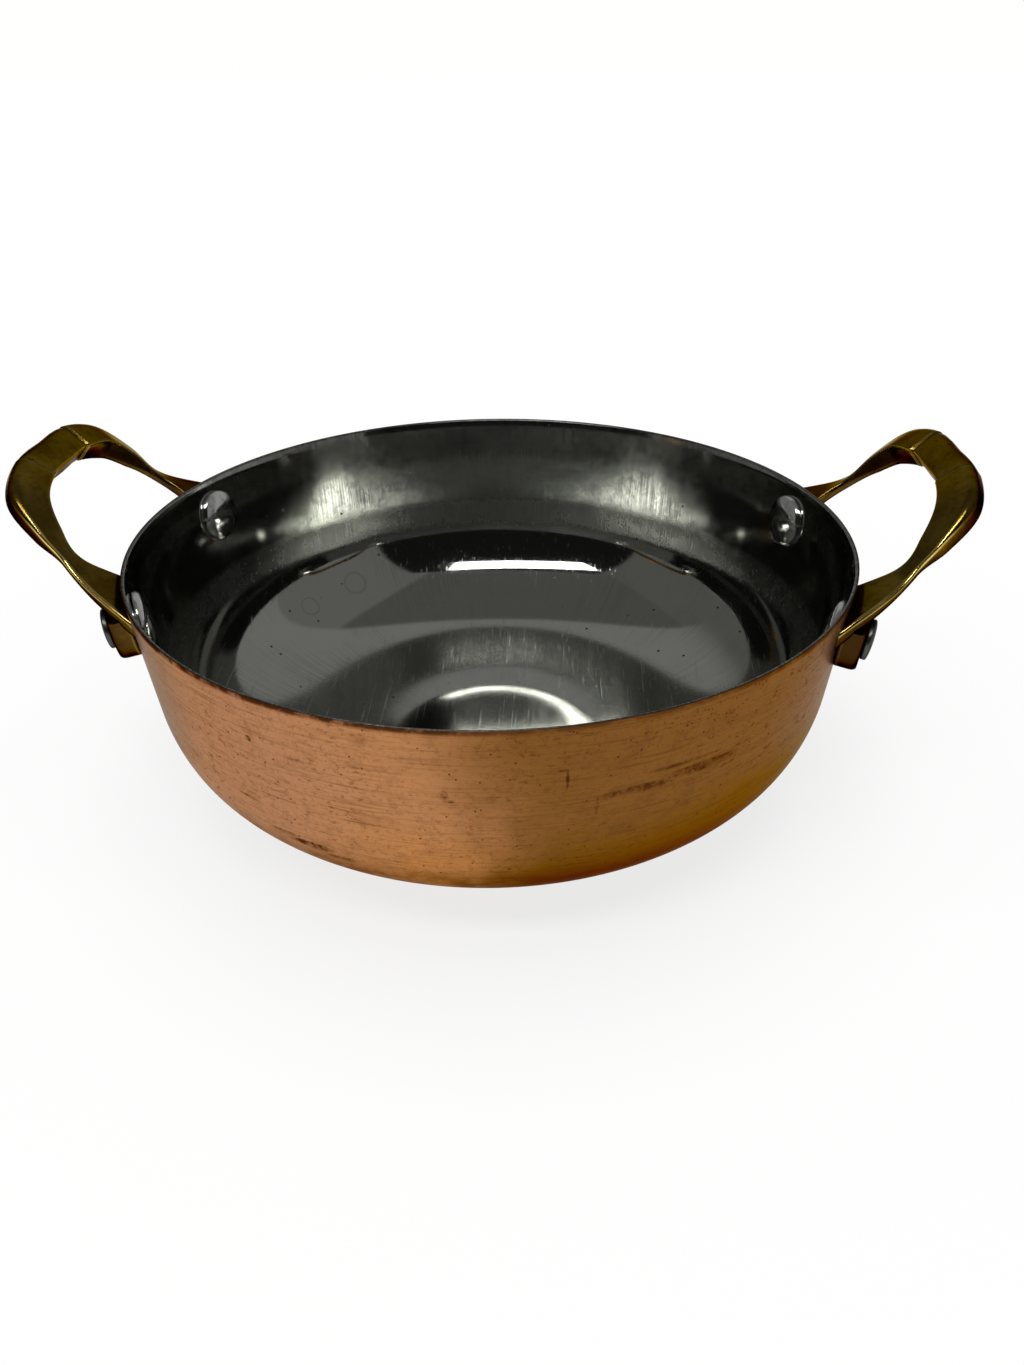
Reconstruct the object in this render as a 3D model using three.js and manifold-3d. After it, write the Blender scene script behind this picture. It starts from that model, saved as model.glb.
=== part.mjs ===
// A small round gratin pan: a copper shell with a steel lining and two cast brass loop handles,
// each riveted through both layers of the wall. Millimetres, +Z up, origin under the middle of the
// base, handles on +X and -X.
import * as THREE from 'three';
import { mergeVertices } from 'three/addons/utils/BufferGeometryUtils.js';
import Module from 'manifold-3d';

// Pan body
const RIM_DIAMETER = 160;
const PAN_HEIGHT = 59;
const BASE_FLAT_DIAMETER = 46;
const BASE_CORNER = THREE.MathUtils.degToRad(9);
const WALL_START_HEIGHT = 33;
const WALL_TAPER = THREE.MathUtils.degToRad(5.7);
const HEEL_BASE_PULL = 27;
const HEEL_WALL_PULL = 25.7;
const COPPER_THICKNESS = 0.5;
const STEEL_THICKNESS = 0.9;
const BOND_GAP = 0.05;

// Rivets
const RIVET_SPACING = 57.5;
const RIVET_DROP = 9.3;
const SHANK_DIAMETER = 5;
const SHANK_CLEARANCE = 0.2;
const INNER_HEAD_DIAMETER = 12.5;
const INNER_HEAD_HEIGHT = 2.6;
const OUTER_HEAD_DIAMETER = 8.5;
const OUTER_HEAD_HEIGHT = 2;
const HEAD_EDGE = 0.6;

// Handles
const HANDLE_REACH = 15.4;
const HANDLE_RISE = 18.3;
const LOOP_TILT = THREE.MathUtils.degToRad(54.4);
const BOW_TWIST = THREE.MathUtils.degToRad(14);
const ARM_TWIST = THREE.MathUtils.degToRad(24);
const SEAT_TWIST = THREE.MathUtils.degToRad(12);
const BAND_LENGTH = 20;
const BAND_STEP = 0.2;
const SHOULDER_SPREAD = 39;
const SHOULDER_SETBACK = 3.5;
const ARM_SPREAD = 48;
const ARM_SETBACK = 11.2;
const NECK_SPREAD = 51.5;
const NECK_SETBACK = 18.5;
const SEAT_DROP = 3.2;
const BOW_WIDTH = 7.9;
const SHOULDER_WIDTH = 7.6;
const ARM_WIDTH = 5.2;
const NECK_WIDTH = 4;
const SEAT_WIDTH = 12.5;
const FOOT_WIDTH = 13;
const FOOT_END_WIDTH = 3.7;
const BOW_THICKNESS = 5.6;
const ARM_THICKNESS = 4.2;
const NECK_THICKNESS = 2.3;
const SEAT_THICKNESS = 3.2;
const FOOT_THICKNESS = 4.3;
const FOOT_ABOVE_RIVET = 4.9;
const FOOT_BELOW_RIVET = 7;
const BOW_BEVEL = 1.3;
const TOP_BEVEL = 0.4;
const BACK_CHAMFER = 1.3;

// Pieces that bear on a curved face stop this far from it. The strap's ends and the feet are cast
// deeper than their finished faces, which are then cut to the wall's curve, and a foot is spot-faced
// for the rivet's outer head.
const FIT_GAP = 0.3;
const SEAT_ALLOWANCE = 5;
const FOOT_ALLOWANCE = 0.4;
const SPOT_FACE_DEPTH = 0.2;

// Facets
const LATHE_SEGMENTS = 64;
const HEEL_STEPS = 8;
const RIVET_SEGMENTS = 18;
const DOME_STEPS = 3;
const SPAN_STEPS = 5;
const FOOT_END_STEPS = 4;
const MERGE_TOLERANCE = 1e-4;

const RIM_RADIUS = RIM_DIAMETER / 2;
const WALL_THICKNESS = COPPER_THICKNESS + STEEL_THICKNESS;
const RIVET_HEIGHT = PAN_HEIGHT - RIVET_DROP;
const CAST_FOOT_THICKNESS = FOOT_THICKNESS + FOOT_ALLOWANCE;
const SPOT_FACE_LEVEL = FIT_GAP + FOOT_THICKNESS - SPOT_FACE_DEPTH;

const wasm = await Module();
wasm.setup();

const COPPER = new THREE.MeshStandardMaterial({ color: 0xb9764f, roughness: 0.35, metalness: 1 });
const STEEL = new THREE.MeshStandardMaterial({ color: 0x8f8f8a, roughness: 0.12, metalness: 1 });
const BRASS = new THREE.MeshStandardMaterial({ color: 0x7d6426, roughness: 0.3, metalness: 1 });
const RIVET_STEEL = new THREE.MeshStandardMaterial({ color: 0x77777a, roughness: 0.25, metalness: 1 });

// Solids

function solidFrom(geometry) {
  const bare = geometry.clone();
  bare.deleteAttribute('normal');
  bare.deleteAttribute('uv');
  const merged = mergeVertices(bare, MERGE_TOLERANCE);
  const vertProperties = Float32Array.from(merged.getAttribute('position').array);
  const triVerts = Uint32Array.from(merged.getIndex().array);
  return new wasm.Manifold(new wasm.Mesh({ numProp: 3, vertProperties, triVerts }));
}

function geometryFrom(solid) {
  const mesh = solid.getMesh();
  const geometry = new THREE.BufferGeometry();
  geometry.setAttribute('position', new THREE.BufferAttribute(mesh.vertProperties, 3));
  geometry.setIndex(new THREE.BufferAttribute(mesh.triVerts, 1));
  geometry.computeVertexNormals();
  return geometry;
}

// Revolves a closed (radius, height) outline about the Z axis
function revolve(outline, segments) {
  const geometry = new THREE.LatheGeometry(outline, segments);
  return geometry.rotateX(Math.PI / 2);
}

// Pan profile, seen as (radius, height)

function wallRadius(height) {
  return RIM_RADIUS - (PAN_HEIGHT - height) * Math.tan(WALL_TAPER);
}

function outerProfile() {
  const baseEdge = new THREE.Vector2(BASE_FLAT_DIAMETER / 2, 0);
  const wallStart = new THREE.Vector2(wallRadius(WALL_START_HEIGHT), WALL_START_HEIGHT);
  const baseDirection = new THREE.Vector2(Math.cos(BASE_CORNER), Math.sin(BASE_CORNER));
  const wallDirection = new THREE.Vector2(Math.sin(WALL_TAPER), Math.cos(WALL_TAPER));
  const heel = new THREE.CubicBezierCurve(
    baseEdge,
    baseEdge.clone().addScaledVector(baseDirection, HEEL_BASE_PULL),
    wallStart.clone().addScaledVector(wallDirection, -HEEL_WALL_PULL),
    wallStart,
  );
  return [...heel.getPoints(HEEL_STEPS), new THREE.Vector2(RIM_RADIUS, PAN_HEIGHT)];
}

// The outer profile moved into the wall by a depth, or out of it by a negative one. It starts on
// the axis and ends level with the rim.
function profileAtDepth(depth) {
  const outline = outerProfile();
  const last = outline.length - 1;
  const moved = outline.map((point, index) => {
    const before = outline[Math.max(index - 1, 0)];
    const after = outline[Math.min(index + 1, last)];
    const along = index === 0 ? new THREE.Vector2(1, 0) : after.clone().sub(before).normalize();
    return new THREE.Vector2(point.x - along.y * depth, point.y + along.x * depth);
  });
  moved[last] = new THREE.Vector2(RIM_RADIUS - depth / Math.cos(WALL_TAPER), PAN_HEIGHT);
  return [new THREE.Vector2(0, depth), ...moved];
}

function layer(outerDepth, innerDepth) {
  const outside = profileAtDepth(outerDepth);
  const inside = profileAtDepth(innerDepth).reverse();
  return solidFrom(revolve([...outside, ...inside], LATHE_SEGMENTS));
}

// Everything inside the profile at a depth, as one plug
function plug(depth) {
  const axisTop = new THREE.Vector2(0, PAN_HEIGHT);
  return solidFrom(revolve([...profileAtDepth(depth), axisTop], LATHE_SEGMENTS));
}

// Rivet places on the wall of the +X handle

const RIVET_WALL_RADIUS = wallRadius(RIVET_HEIGHT);
const RIVET_ANGLE = Math.asin(RIVET_SPACING / 2 / RIVET_WALL_RADIUS);

// Outward normal of the wall at a bearing round the pan
function wallNormal(bearing) {
  const flat = Math.cos(WALL_TAPER);
  return new THREE.Vector3(flat * Math.cos(bearing), flat * Math.sin(bearing), -Math.sin(WALL_TAPER));
}

function wallPoint(bearing, height) {
  const radius = wallRadius(height);
  return new THREE.Vector3(radius * Math.cos(bearing), radius * Math.sin(bearing), height);
}

// Turns local +Z to the wall's normal and moves the origin onto the wall
function rivetPlace(bearing) {
  const turn = new THREE.Quaternion().setFromUnitVectors(new THREE.Vector3(0, 0, 1), wallNormal(bearing));
  const size = new THREE.Vector3(1, 1, 1);
  return new THREE.Matrix4().compose(wallPoint(bearing, RIVET_HEIGHT), turn, size);
}

function rivetHole(bearing) {
  const radius = SHANK_DIAMETER / 2 + SHANK_CLEARANCE;
  const reach = 2 * (WALL_THICKNESS + FOOT_THICKNESS + INNER_HEAD_HEIGHT);
  const hole = new THREE.CylinderGeometry(radius, radius, 2 * reach, RIVET_SEGMENTS).rotateX(Math.PI / 2);
  return solidFrom(hole.applyMatrix4(rivetPlace(bearing)));
}

// Room for a rivet's outer head, spot-faced into the foot
function headSeat(bearing) {
  const radius = OUTER_HEAD_DIAMETER / 2 + FIT_GAP;
  const length = 2 * OUTER_HEAD_HEIGHT;
  const seat = new THREE.CylinderGeometry(radius, radius, length, RIVET_SEGMENTS).rotateX(Math.PI / 2);
  seat.translate(0, 0, SPOT_FACE_LEVEL + length / 2);
  return solidFrom(seat.applyMatrix4(rivetPlace(bearing)));
}

// A half outline of a domed disc: from the edge of its flat side over the dome to the axis
function domeOutline(diameter, height, base, direction) {
  const rise = height - HEAD_EDGE;
  const points = [];
  for (let step = 0; step <= DOME_STEPS; step += 1) {
    const angle = (step / DOME_STEPS) * (Math.PI / 2);
    const level = base + direction * (HEAD_EDGE + rise * Math.sin(angle));
    points.push(new THREE.Vector2((diameter / 2) * Math.cos(angle), level));
  }
  points.at(-1).x = 0;
  return points;
}

// One rivet along local Z: zero is the outer face of the wall, the outer head is on +Z
function rivetSolid(bearing) {
  const shankRadius = SHANK_DIAMETER / 2;
  const outerSeat = SPOT_FACE_LEVEL + FIT_GAP;
  const innerSeat = -WALL_THICKNESS;
  const inner = domeOutline(INNER_HEAD_DIAMETER, INNER_HEAD_HEIGHT, innerSeat, -1).reverse();
  const outer = domeOutline(OUTER_HEAD_DIAMETER, OUTER_HEAD_HEIGHT, outerSeat, 1);
  const outline = [
    ...inner,
    new THREE.Vector2(INNER_HEAD_DIAMETER / 2, innerSeat),
    new THREE.Vector2(shankRadius, innerSeat),
    new THREE.Vector2(shankRadius, outerSeat),
    new THREE.Vector2(OUTER_HEAD_DIAMETER / 2, outerSeat),
    ...outer,
  ];
  const solid = solidFrom(revolve(outline, RIVET_SEGMENTS).applyMatrix4(rivetPlace(bearing)));
  const shank = new THREE.CylinderGeometry(shankRadius, shankRadius, 2 * outerSeat, RIVET_SEGMENTS);
  const core = solidFrom(shank.rotateX(Math.PI / 2).applyMatrix4(rivetPlace(bearing)));
  const seatRing = layer(-FIT_GAP, WALL_THICKNESS + FIT_GAP);
  return solid.subtract(seatRing.subtract(core));
}

// Handle: a strap that rises in a tilted loop from two seats just below the rim. It is narrow at the
// necks, fans out to the seats and has a foot plate under each fan. The strap's path runs along the
// middle of its upper face, and a foot's along the middle of its wall side.

const LOOP_NORMAL = new THREE.Vector3(Math.sin(LOOP_TILT), 0, -Math.cos(LOOP_TILT));

// A point of the loop's upper face: setback is measured down the slope from the bow
function loopPoint(setback, side) {
  const x = RIM_RADIUS + HANDLE_REACH - setback * Math.cos(LOOP_TILT);
  const z = PAN_HEIGHT + HANDLE_RISE - setback * Math.sin(LOOP_TILT);
  return new THREE.Vector3(x, side, z);
}

function footPoint(rise) {
  const place = wallPoint(RIVET_ANGLE, RIVET_HEIGHT + rise * Math.cos(WALL_TAPER));
  return place.addScaledVector(wallNormal(RIVET_ANGLE), FIT_GAP - FOOT_ALLOWANCE);
}

// The loop's corners from the end of the band to the +Y seat. Lie is 0 where the strap faces as the
// loop does and 1 where it faces as the seat does. Twist lowers the strap's outer edge.
function loopCorners() {
  const bow = { width: BOW_WIDTH, thickness: BOW_THICKNESS, bevel: BOW_BEVEL, twist: BOW_TWIST, lie: 0 };
  const shoulder = { ...bow, width: SHOULDER_WIDTH, twist: ARM_TWIST };
  const arm = { ...shoulder, width: ARM_WIDTH, thickness: ARM_THICKNESS, bevel: TOP_BEVEL };
  const neck = { ...arm, width: NECK_WIDTH, thickness: NECK_THICKNESS };
  const seat = { ...neck, width: SEAT_WIDTH, thickness: SEAT_THICKNESS, twist: SEAT_TWIST, lie: 1 };
  return [
    { ...bow, at: loopPoint(0, BAND_LENGTH / 2) },
    { ...shoulder, at: loopPoint(SHOULDER_SETBACK, SHOULDER_SPREAD / 2) },
    { ...arm, at: loopPoint(ARM_SETBACK, ARM_SPREAD / 2) },
    { ...neck, at: loopPoint(NECK_SETBACK, NECK_SPREAD / 2) },
    { ...seat, at: wallPoint(RIVET_ANGLE, PAN_HEIGHT - SEAT_DROP) },
  ];
}

// A size between corners, passing smoothly through each corner's own
function sizeAt(corners, size, place) {
  const last = corners.length - 1;
  const span = Math.min(Math.floor(place), last - 1);
  const nearby = [span - 1, span, span + 1, span + 2];
  const [a, b, c, d] = nearby.map((index) => corners[THREE.MathUtils.clamp(index, 0, last)][size]);
  const t = place - span;
  return b + (t / 2) * (c - a + t * (2 * a - 5 * b + 4 * c - d + t * (3 * (b - c) + d - a)));
}

// Stations from the end of the band to the +Y seat and on into the wall, where the strap is cut off
function halfStrap() {
  const corners = loopCorners();
  const [neck, seat] = corners.slice(-2).map((corner) => corner.at);
  const inward = seat.clone().sub(neck).normalize();
  const level = new THREE.Vector3(-Math.sin(RIVET_ANGLE), Math.cos(RIVET_ANGLE), 0);
  const seatNormal = new THREE.Vector3().crossVectors(inward, level).normalize();
  const castEnd = seat.clone().addScaledVector(inward, SEAT_ALLOWANCE);
  const guides = [...corners.map((corner) => corner.at), castEnd];
  const curve = new THREE.CatmullRomCurve3(guides, false, 'centripetal');
  const stations = [];
  for (let step = 0; step <= (corners.length - 1) * SPAN_STEPS; step += 1) {
    const place = step / SPAN_STEPS;
    const share = place / (guides.length - 1);
    stations.push({
      at: curve.getPoint(share),
      along: curve.getTangent(share),
      normal: LOOP_NORMAL.clone().lerp(seatNormal, sizeAt(corners, 'lie', place)).normalize(),
      width: sizeAt(corners, 'width', place),
      thickness: sizeAt(corners, 'thickness', place),
      bevel: sizeAt(corners, 'bevel', place),
      twist: sizeAt(corners, 'twist', place),
    });
  }
  return [...stations, { ...stations.at(-1), at: castEnd }];
}

// Stations of the +Y foot, from its top, which slopes as the fan does, down to its round end
function footStations() {
  const normal = wallNormal(RIVET_ANGLE);
  const along = footPoint(0).sub(footPoint(FOOT_ABOVE_RIVET)).normalize();
  const foot = { along, normal, thickness: CAST_FOOT_THICKNESS, bevel: TOP_BEVEL, twist: 0 };
  const slope = along.clone().applyAxisAngle(normal, -SEAT_TWIST);
  const rounding = 1 - (FOOT_END_WIDTH / FOOT_WIDTH) ** 2;
  const stations = [{ ...foot, along: slope, at: footPoint(FOOT_ABOVE_RIVET), width: SEAT_WIDTH }];
  for (let step = 0; step <= FOOT_END_STEPS; step += 1) {
    const share = Math.sin((step / FOOT_END_STEPS) * (Math.PI / 2));
    const width = FOOT_WIDTH * Math.sqrt(1 - rounding * share * share);
    stations.push({ ...foot, at: footPoint(-FOOT_BELOW_RIVET * share), width });
  }
  return stations;
}

function mirrored(station) {
  const flip = (vector) => new THREE.Vector3(vector.x, -vector.y, vector.z);
  return {
    ...station,
    at: flip(station.at),
    along: flip(station.along).negate(),
    normal: flip(station.normal),
  };
}

// The eight corners of the strap's section at a station, going round it once
function sectionCorners({ at, along, normal, width, thickness, bevel, twist }) {
  const level = new THREE.Vector3().crossVectors(normal, along).normalize();
  const across = level.clone().multiplyScalar(Math.cos(twist)).addScaledVector(normal, Math.sin(twist));
  const down = normal.clone().multiplyScalar(Math.cos(twist)).addScaledVector(level, -Math.sin(twist));
  const half = width / 2;
  const back = Math.min(BACK_CHAMFER, half / 2, thickness / 2);
  const outline = [
    [-half + TOP_BEVEL, 0],
    [half - bevel, 0],
    [half, bevel],
    [half, thickness - back],
    [half - back, thickness],
    [-half + back, thickness],
    [-half, thickness - back],
    [-half, TOP_BEVEL],
  ];
  return outline.map(([side, depth]) => {
    const corner = at.clone().addScaledVector(across, side);
    return corner.addScaledVector(down, depth);
  });
}

// Skins a row of stations and closes both ends
function strapGeometry(stations) {
  const rings = stations.map(sectionCorners);
  const count = rings[0].length;
  const positions = rings.flat().flatMap((point) => point.toArray());
  const index = [];
  for (let row = 0; row < rings.length - 1; row += 1) {
    for (let column = 0; column < count; column += 1) {
      const a = row * count + column;
      const b = row * count + ((column + 1) % count);
      index.push(a, b, b + count, a, b + count, a + count);
    }
  }
  const last = (rings.length - 1) * count;
  for (let column = 1; column < count - 1; column += 1) {
    index.push(0, column + 1, column, last, last + column, last + column + 1);
  }
  const geometry = new THREE.BufferGeometry();
  geometry.setAttribute('position', new THREE.BufferAttribute(Float32Array.from(positions), 3));
  geometry.setIndex(index);
  return geometry;
}

function handleSolid() {
  const half = halfStrap();
  const bandEnd = half[0];
  const band = {
    ...bandEnd,
    at: bandEnd.at.clone().addScaledVector(LOOP_NORMAL, BAND_STEP),
    along: new THREE.Vector3(0, 1, 0),
    width: bandEnd.width - 2 * BAND_STEP,
    thickness: bandEnd.thickness - 2 * BAND_STEP,
  };
  band.at.y -= BAND_STEP;
  const near = [band, ...half];
  const foot = footStations();
  let solid = solidFrom(strapGeometry([...near.map(mirrored).reverse(), ...near]));
  for (const plate of [foot, foot.map(mirrored).reverse()]) {
    solid = solid.add(solidFrom(strapGeometry(plate)));
  }
  solid = solid.subtract(plug(-FIT_GAP));
  for (const bearing of [RIVET_ANGLE, -RIVET_ANGLE]) {
    solid = solid.subtract(rivetHole(bearing)).subtract(headSeat(bearing));
  }
  return solid;
}

// Assembly

const SIDES = [
  { name: 'right', turn: 0, frontBearing: -RIVET_ANGLE },
  { name: 'left', turn: Math.PI, frontBearing: RIVET_ANGLE },
];

function drilled(solid) {
  let result = solid;
  for (const { turn } of SIDES) {
    for (const bearing of [turn + RIVET_ANGLE, turn - RIVET_ANGLE]) {
      result = result.subtract(rivetHole(bearing));
    }
  }
  return result;
}

function piece(name, solid, material) {
  const mesh = new THREE.Mesh(geometryFrom(solid), material.clone());
  mesh.name = name;
  return mesh;
}

const casting = handleSolid();
const pan = new THREE.Group();
pan.add(piece('copper_shell', drilled(layer(0, COPPER_THICKNESS)), COPPER));
pan.add(piece('steel_lining', drilled(layer(COPPER_THICKNESS + BOND_GAP, WALL_THICKNESS)), STEEL));
for (const side of SIDES) {
  const handle = piece(`${side.name}_handle`, casting, BRASS);
  handle.rotation.z = side.turn;
  pan.add(handle);
  for (const place of ['front', 'rear']) {
    const sign = place === 'front' ? 1 : -1;
    const bearing = side.turn + sign * side.frontBearing;
    pan.add(piece(`${side.name}_${place}_rivet`, rivetSolid(bearing), RIVET_STEEL));
  }
}

export default pan;
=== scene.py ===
"""A small round gratin pan: copper outside, steel inside, two riveted brass loop handles."""

import math

import bpy
import numpy as np
from bpy.props import FloatProperty, FloatVectorProperty, IntProperty, PointerProperty
from mathutils import Matrix, Vector


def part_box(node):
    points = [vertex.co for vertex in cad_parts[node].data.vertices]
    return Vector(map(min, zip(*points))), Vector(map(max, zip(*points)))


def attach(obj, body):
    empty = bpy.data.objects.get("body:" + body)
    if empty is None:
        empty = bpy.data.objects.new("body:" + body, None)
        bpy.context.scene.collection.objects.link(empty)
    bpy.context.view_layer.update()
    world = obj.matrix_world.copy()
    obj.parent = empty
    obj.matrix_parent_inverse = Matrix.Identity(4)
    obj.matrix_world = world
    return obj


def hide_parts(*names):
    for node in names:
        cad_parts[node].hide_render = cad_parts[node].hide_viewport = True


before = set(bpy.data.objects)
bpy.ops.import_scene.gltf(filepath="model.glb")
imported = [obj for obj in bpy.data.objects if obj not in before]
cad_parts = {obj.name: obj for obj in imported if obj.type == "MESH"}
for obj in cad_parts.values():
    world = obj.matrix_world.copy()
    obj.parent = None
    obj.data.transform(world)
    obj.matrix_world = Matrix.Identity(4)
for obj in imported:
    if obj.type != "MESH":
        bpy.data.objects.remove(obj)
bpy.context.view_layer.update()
MM = 0.001

bl_info = {
    "name": "Gratin Pan",
    "version": (1, 0, 0),
    "blender": (4, 5, 0),
    "location": "3D View > Sidebar > Gratin Pan",
    "description": "Builds a copper gratin pan with a steel lining and brass handles",
    "category": "Object",
}

BODY = "root"
SIDES = {"right": 0.0, "left": math.pi}


# Properties

def length(name, description, millimetres):
    return FloatProperty(name=name, description=description, default=millimetres * MM,
                         unit="LENGTH", subtype="DISTANCE", precision=5)


def angle(name, description, degrees):
    return FloatProperty(name=name, description=description, default=math.radians(degrees),
                         unit="ROTATION", subtype="ANGLE")


def share(name, description, value):
    return FloatProperty(name=name, description=description, default=value, subtype="FACTOR")


def power(name, description, watts):
    return FloatProperty(name=name, description=description, default=watts, unit="POWER")


def count(name, description, value):
    return IntProperty(name=name, description=description, default=value)


def colour(name, description, red, green, blue):
    return FloatVectorProperty(name=name, description=description, default=(red, green, blue),
                               size=3, subtype="COLOR", min=0.0, max=1.0)


SHELL_LOW, SHELL_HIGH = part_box("copper_shell")


class PanBodySizes(bpy.types.PropertyGroup):
    """Sizes of the shell and the lining"""
    rim_diameter: length("Rim diameter", "Outside diameter at the rim",
                         (SHELL_HIGH.x - SHELL_LOW.x) / MM)
    height: length("Height", "Height of the rim above the base", SHELL_HIGH.z / MM)
    base_diameter: length("Base diameter", "Diameter of the flat base", 46)
    wall_start: length("Wall start", "Height at which the straight wall begins", 33)
    wall_taper: angle("Wall taper", "Lean of the straight wall", 5.7)
    base_corner: angle("Base corner", "Slope at which the floor leaves the flat base", 9)
    base_knee: length("Base knee", "Rounding of that corner, to each side", 4)
    heel_base_pull: length("Heel pull at base", "Reach of the heel's curve along the base", 27)
    heel_wall_pull: length("Heel pull at wall", "Reach of the heel's curve along the wall", 25.7)
    copper: length("Copper thickness", "Thickness of the copper shell", 0.5)
    copper_at_rim: length("Copper at rim", "Thickness to which the copper thins at the rim", 0.2)
    rim_thinning: length("Rim thinning", "Height over which the copper thins", 1.6)
    wall: length("Wall thickness", "Copper and steel together", 1.4)
    lip_thinning: length("Lip thinning", "How much the wall thins on the inside at the rim", 0.55)
    lip_height: length("Lip height", "Height over which the wall thins", 12)
    bond: length("Bond gap", "Space between the shell and the lining", 0.03)
    rim_edge: length("Rim edge", "Rounding of the rim's outer edges", 0.1)
    rim_round: length("Rim round", "Rounding of the rim's inner edge", 0.45)
    knee_steps: count("Knee steps", "Facets round the base's corner", 14)
    heel_steps: count("Heel steps", "Facets along the heel", 56)
    wall_steps: count("Wall steps", "Facets up the wall", 26)
    rim_steps: count("Rim steps", "Facets round an edge of the rim", 5)
    segments: count("Segments", "Facets round the pan", 256)


class RivetSizes(bpy.types.PropertyGroup):
    """Sizes of the rivets"""
    spacing: length("Spacing", "Distance between the two rivets of a handle", 57.5)
    drop: length("Drop", "Depth of the rivets below the rim", 9.3)
    shank: length("Shank", "Diameter of the shank", 5)
    inner_head: length("Inner head", "Diameter of the head inside the pan", 12.5)
    inner_height: length("Inner height", "Height of the head inside the pan", 2.6)
    inner_edge: length("Inner edge", "Upright edge of the head inside the pan", 0.5)
    inner_sink: length("Inner sink", "How far that head is let into the lining", 0.05)
    outer_head: length("Outer head", "Diameter of the head on the handle's foot", 8.5)
    outer_height: length("Outer height", "Height of the head on the handle's foot", 1.7)
    outer_edge: length("Outer edge", "Upright edge of the head on the handle's foot", 1.0)
    outer_sink: length("Outer sink", "How far that head is let into the foot", 0.15)
    edge_round: length("Edge round", "Rounding of a head's foot", 0.2)
    segments: count("Segments", "Facets round a rivet", 48)
    dome_steps: count("Dome steps", "Facets over a dome", 12)


class HandleSizes(bpy.types.PropertyGroup):
    """Sizes of the cast handles"""
    reach: length("Reach", "How far the bow lies outside the rim", 15.4)
    rise: length("Rise", "How far the bow lies above the rim", 18.3)
    tilt: angle("Tilt", "Slope of the loop above level", 54.4)
    bow_twist: angle("Bow twist", "How far the bow's upper face leans outwards", 14)
    arm_twist: angle("Arm twist", "How far the arms' upper faces lean outwards", 24)
    seat_twist: angle("Seat twist", "How far the strap leans outwards at the wall", 12)
    band: length("Band length", "Length of the recessed band at the bow", 20)
    band_step: length("Band step", "Depth of the band below the arms", 0.22)
    bow_crown: length("Bow crown", "How far the bow's middle lies up the slope from the band", 0.3)
    shoulder_spread: length("Shoulder spread", "Width of the loop at the shoulders", 39)
    shoulder_setback: length("Shoulder setback", "Shoulders' distance down the slope", 3.5)
    arm_spread: length("Arm spread", "Width of the loop at mid arm", 48)
    arm_setback: length("Arm setback", "Mid arms' distance down the slope", 11.2)
    neck_spread: length("Neck spread", "Width of the loop at the necks", 51.5)
    neck_setback: length("Neck setback", "Necks' distance down the slope", 18.5)
    bow_width: length("Bow width", "Width of the strap at the bow", 7.9)
    shoulder_width: length("Shoulder width", "Width of the strap at the shoulders", 7.6)
    arm_width: length("Arm width", "Width of the strap at mid arm", 5.2)
    neck_width: length("Neck width", "Width of the strap at the necks", 4.0)
    seat_width: length("Seat width", "Width of the strap where it meets the wall", 12.5)
    foot_width: length("Foot width", "Width of a foot at its rivet", 13)
    bow_thickness: length("Bow thickness", "Thickness of the strap at the bow", 5.6)
    arm_thickness: length("Arm thickness", "Thickness of the strap at mid arm", 4.2)
    neck_thickness: length("Neck thickness", "Thickness of the strap at the necks", 2.3)
    seat_thickness: length("Seat thickness", "Thickness of the strap at the wall", 3.2)
    foot_thickness: length("Foot thickness", "Thickness of a foot", 4.6)
    foot_sink: length("Foot sink", "How far a foot is let into the wall", 0.1)
    seat_drop: length("Seat drop", "Depth below the rim where the strap meets the wall", 3.2)
    foot_top: length("Foot top", "Reach of a foot above its rivet", 4.9)
    foot_below: length("Foot below rivet", "Reach of a foot below its rivet", 7)
    end_rounding: share("End rounding", "How round a foot's end is", 0.985)
    # Painted shade on the strap's sides and back; on a foot, tarnish and painted shade that lessen
    # towards its end.
    side_painted_shade: share("Side tarnish", "Tarnish on the strap's sides and back", 0.92)
    foot_tarnish_and_shade: share("Foot tarnish", "Tarnish on a foot", 0.95)
    top_edge: length("Top edge", "Rounding of the upper face's edges", 0.5)
    bow_edge: length("Bow edge", "Rounding of the bow's outer edge", 2.2)
    seat_edge: length("Seat edge", "Rounding of the strap's edge at the wall", 0.7)
    back_edge: length("Back edge", "Rounding of the back's edges", 1.4)
    groove: length("Band groove", "Depth of the grooves that end the band", 0.45)
    lip: length("Band lip", "Half the width of the step from a groove to the arm", 0.25)
    span_steps: count("Span steps", "Stations from corner to corner", 14)
    top_steps: count("Top steps", "Stations from a foot's top to its rivet", 4)
    end_steps: count("End steps", "Stations round a foot's end", 14)


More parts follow.
